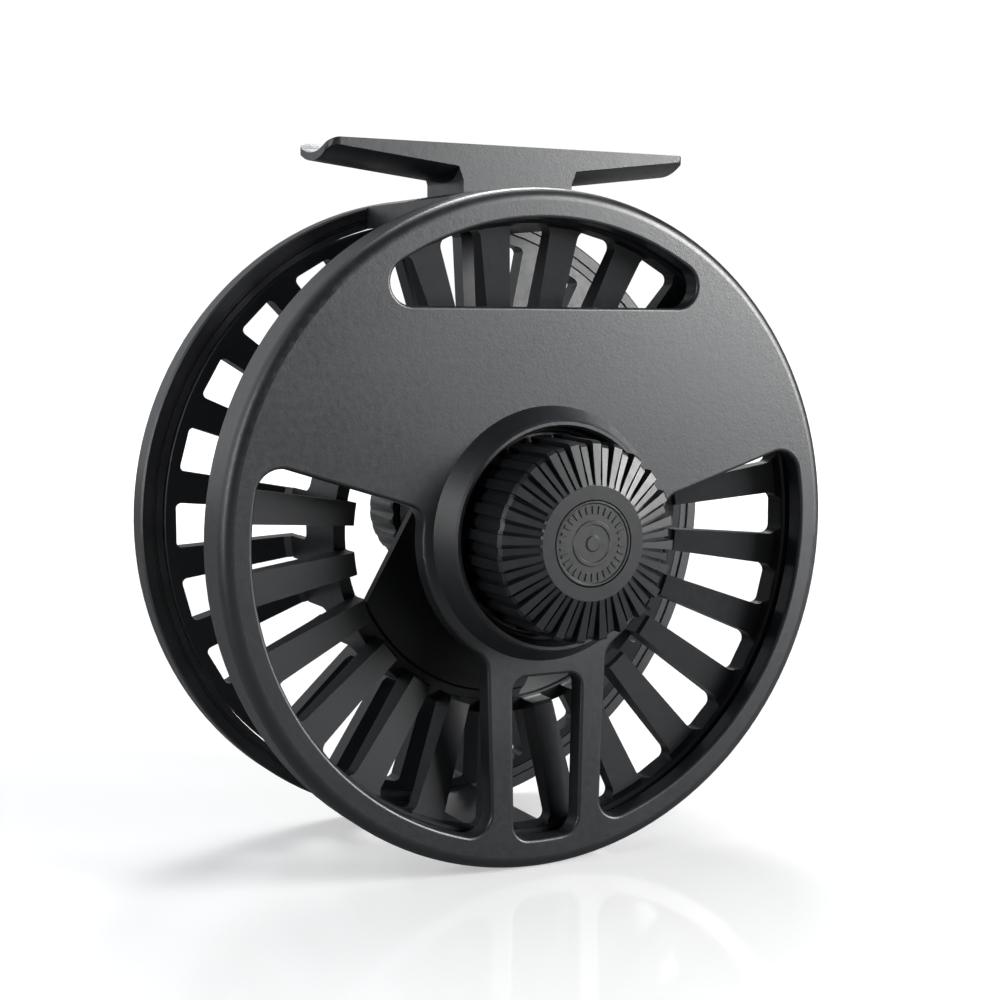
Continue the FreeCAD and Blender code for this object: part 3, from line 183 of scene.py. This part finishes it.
def woven(name, base, rough):
    """Carbon friction facing: crossed strands about half a millimetre wide."""
    t = Tree(name)
    a = t.new("ShaderNodeTexWave", wave_type="BANDS", bands_direction="DIAGONAL")
    t.link(t.coord, a.inputs["Vector"])
    a.inputs["Scale"].default_value = 900.0
    a.inputs["Distortion"].default_value = 0.6
    b = t.new("ShaderNodeTexChecker")
    t.link(t.coord, b.inputs["Vector"])
    b.inputs["Scale"].default_value = 1400.0
    f = t.math("MULTIPLY", a.outputs["Fac"], b.outputs["Fac"])
    t.link(t.mix(f, shade(base, 0.6), shade(base, 2.2)), t.bsdf.inputs["Base Color"])
    t.link(t.span(t.noise(300.0), 0.3, 0.7, rough - 0.08, rough + 0.08), t.bsdf.inputs["Roughness"])
    t.link(t.bump(f, 0.4, 0.0001), t.bsdf.inputs["Normal"])
    return t.mat


def moulded(name, base, rough, grain=0.2, sheen=0.0):
    """Moulded or turned polymer and rubber: soft mottling, fine pores."""
    t = Tree(name)
    fine = t.noise(1800.0, 3.0, 0.6)
    broad = t.noise(90.0, 3.0, 0.5)
    colour = t.mix(t.span(broad, 0.3, 0.7, 0.0, 1.0), shade(base, 0.85), shade(base, 1.2))
    # painted highlight: convex and concave edges lightened toward a paler colour
    edge = t.edges(0.0004, 0.76, 0.94)
    colour = t.mix(t.math("MULTIPLY", edge, 0.3), colour, shade(base, 2.2))
    t.link(colour, t.bsdf.inputs["Base Color"])
    t.link(t.span(broad, 0.3, 0.7, rough - 0.06, rough + 0.06), t.bsdf.inputs["Roughness"])
    t.link(t.bump(fine, grain, 0.00005), t.bsdf.inputs["Normal"])
    t.bsdf.inputs["Sheen Weight"].default_value = sheen
    return t.mat


HANDLE = frame["record"]["behaviour"]["joints"]
HX, HZ = 0.03657, -0.04432
for j in HANDLE:
    if j["name"] == "handle_spin":
        HX, HZ = j["pos_m"][0], j["pos_m"][2]

MATS = {
    "anodised_frame": anodised("anodised_frame", (0.0092, 0.0108, 0.0140), 0.40, grain=0.27, specular=1.0, edge_glint_wear=0.45),
    "anodised_spool": anodised("anodised_spool", (0.0066, 0.0079, 0.0104), 0.43, grain=0.16, specular=0.42, edge_glint_wear=0.8),
    "anodised_knob": anodised("anodised_knob", (0.0072, 0.0084, 0.0104), 0.42, grain=0.04, specular=0.72, coat=0.08, edge_glint_wear=0.9),
    "anodised_cap": anodised("anodised_cap", (0.0150, 0.0160, 0.0178), 0.38, grain=0.1, specular=1.0, edge_glint_wear=0.5),
    "bare_aluminium": turned("bare_aluminium", (0.60, 0.61, 0.63), 0.3),
    "black_steel": turned("black_steel", (0.05, 0.05, 0.055), 0.35),
    "bright_steel": turned("bright_steel", (0.62, 0.62, 0.61), 0.24),
    "bronze": turned("bronze", (0.62, 0.40, 0.19), 0.33),
    "carbon_disc": woven("carbon_disc", (0.03, 0.03, 0.032), 0.5),
    "seal_rubber": moulded("seal_rubber", (0.018, 0.018, 0.018), 0.6),
    "handle_polymer": moulded("handle_polymer", (0.022, 0.022, 0.023), 0.38, grain=0.08),
    "nylon_washer": moulded("nylon_washer", (0.72, 0.71, 0.67), 0.5),
}
SLOTS = {s["node"]: s["material_slot"] for s in frame["record"]["subparts"]}

# edge rounding per node, in metres
ROUND = {"reel_foot": 0.0005, "knob_cap": 0.00006,
         "release_cap": 0.00015, "handle_knob": 0.0002, "drag_cover": 0.00015, "drag_housing": 0.00015}

for name, obj in NODES.items():
    mat = MATS[SLOTS[name]]
    obj.data.materials.clear()
    obj.data.materials.append(mat)
    if name in ROUND:
        weld = obj.modifiers.new("weld", "WELD")
        weld.merge_threshold = 1e-6
        bev = obj.modifiers.new("edge_round", "BEVEL")
        bev.width = ROUND[name]
        bev.segments = 2
        bev.limit_method = "ANGLE"
        bev.angle_limit = math.radians(32)
        bev.use_clamp_overlap = True
        bev.harden_normals = True
        bev.miter_outer = "MITER_ARC"

# ------------------------------------------------------------------ stage
mesh = bpy.data.meshes.new("studio_floor")
S = 6.0
mesh.from_pydata([(-S, -S, FLOOR_Z), (S, -S, FLOOR_Z), (S, S, FLOOR_Z), (-S, S, FLOOR_Z)], [], [(0, 1, 2, 3)])
floor = bpy.data.objects.new("studio_floor", mesh)
SCENE.collection.objects.link(floor)
t = Tree("floor_gloss")
haze = t.noise(3.0, 3.0, 0.5)
t.link(t.mix(t.span(haze, 0.3, 0.7, 0.0, 1.0), rgba((0.80, 0.80, 0.80)), rgba((0.83, 0.83, 0.835))), t.bsdf.inputs["Base Color"])
t.link(t.span(haze, 0.3, 0.7, 0.05, 0.08), t.bsdf.inputs["Roughness"])
t.bsdf.inputs["Specular IOR Level"].default_value = 0.7
t.bsdf.inputs["Emission Color"].default_value = (1, 1, 1, 1)
# away from the reel the lights no longer reach, so the sweep glows instead
reach = t.new("ShaderNodeVectorMath", operation="LENGTH")
t.link(t.coord, reach.inputs[0])
t.link(t.span(reach.outputs["Value"], 0.16, 0.75, FLOOR_GLOW, 1.1, smooth=True), t.bsdf.inputs["Emission Strength"])
# the sweep looks white to the lens and gives the reel a much weaker bounce
dull = t.new("ShaderNodeBsdfDiffuse")
dull.inputs["Color"].default_value = (FLOOR_BOUNCE, FLOOR_BOUNCE, FLOOR_BOUNCE, 1.0)
pick = t.new("ShaderNodeMixShader")
t.link(t.new("ShaderNodeLightPath").outputs["Is Camera Ray"], pick.inputs[0])
t.link(dull.outputs[0], pick.inputs[1])
t.link(t.bsdf.outputs[0], pick.inputs[2])
t.link(pick.outputs[0], t.out.inputs["Surface"])
floor.data.materials.append(t.mat)

# ------------------------------------------------------------------ camera
cam_data = bpy.data.cameras.new("camera")
cam_data.lens = 63.70
cam_data.sensor_width = 36.0
cam_data.clip_start = 0.01
cam = bpy.data.objects.new("camera", cam_data)
SCENE.collection.objects.link(cam)
fwd = Vector((0.46542, 0.87915, -0.10234)).normalized()
right = fwd.cross(Vector((0, 0, 1))).normalized()
up = right.cross(fwd)
roll = math.radians(0.35)
r2 = right * math.cos(roll) + up * math.sin(roll)
u2 = -right * math.sin(roll) + up * math.cos(roll)
m = Matrix((r2, u2, -fwd)).transposed().to_4x4()
m.translation = Vector((-0.14057, -0.26776, -0.02617))
cam.matrix_world = m
SCENE.camera = cam

# ------------------------------------------------------------------ lights
TARGET = Vector((-0.0016, -0.005, -0.055))


def softbox(name, at, size, watts, size_y=None, colour=(1, 1, 1)):
    data = bpy.data.lights.new(name, "AREA")
    data.shape = "RECTANGLE"
    data.size = size
    data.size_y = size_y or size
    data.energy = watts
    data.color = colour
    o = bpy.data.objects.new(name, data)
    SCENE.collection.objects.link(o)
    at = Vector(at)
    o.location = at
    o.rotation_euler = (TARGET - at).to_track_quat("-Z", "Y").to_euler()
    return o


softbox("key_right", (0.64, -0.57, 0.21), 0.36, 10.2, 0.44)
softbox("top_sheet", (0.15, 0.25, 0.75), 0.7, 1.6, 0.4)
softbox("left_strip", (-0.86, -0.20, 0.0), 0.20, 3.0, 0.9)
softbox("rear_key", (0.36, 0.62, 0.72), 0.36, 6.5, 0.42)

world = bpy.data.worlds.new("studio")
SCENE.world = world
world.use_nodes = True
nt = world.node_tree
nt.nodes.clear()
out = nt.nodes.new("ShaderNodeOutputWorld")
mixer = nt.nodes.new("ShaderNodeMixShader")
seen = nt.nodes.new("ShaderNodeBackground")
seen.inputs["Color"].default_value = (1, 1, 1, 1)
seen.inputs["Strength"].default_value = 1.02
lit = nt.nodes.new("ShaderNodeBackground")
lit.inputs["Color"].default_value = (0.93, 0.965, 1.0, 1.0)
coord = nt.nodes.new("ShaderNodeTexCoord")
dot = nt.nodes.new("ShaderNodeVectorMath")
dot.operation = "DOT_PRODUCT"
side = Vector((-0.80, 0.58, 0.05)).normalized()
dot.inputs[1].default_value = side
rng = nt.nodes.new("ShaderNodeMapRange")
rng.interpolation_type = "SMOOTHSTEP"
rng.inputs["From Min"].default_value = 0.15
rng.inputs["From Max"].default_value = 0.95
rng.inputs["To Min"].default_value = 0.05
rng.inputs["To Max"].default_value = 0.85
nt.links.new(coord.outputs["Generated"], dot.inputs[0])
nt.links.new(dot.outputs["Value"], rng.inputs["Value"])
nt.links.new(rng.outputs["Result"], lit.inputs["Strength"])
path = nt.nodes.new("ShaderNodeLightPath")
nt.links.new(path.outputs["Is Camera Ray"], mixer.inputs[0])
nt.links.new(lit.outputs[0], mixer.inputs[1])
nt.links.new(seen.outputs[0], mixer.inputs[2])
nt.links.new(mixer.outputs[0], out.inputs[0])

SCENE.view_settings.view_transform = "Standard"
SCENE.view_settings.look = "None"
SCENE.view_settings.exposure = 0.0
SCENE.view_settings.gamma = 1.0
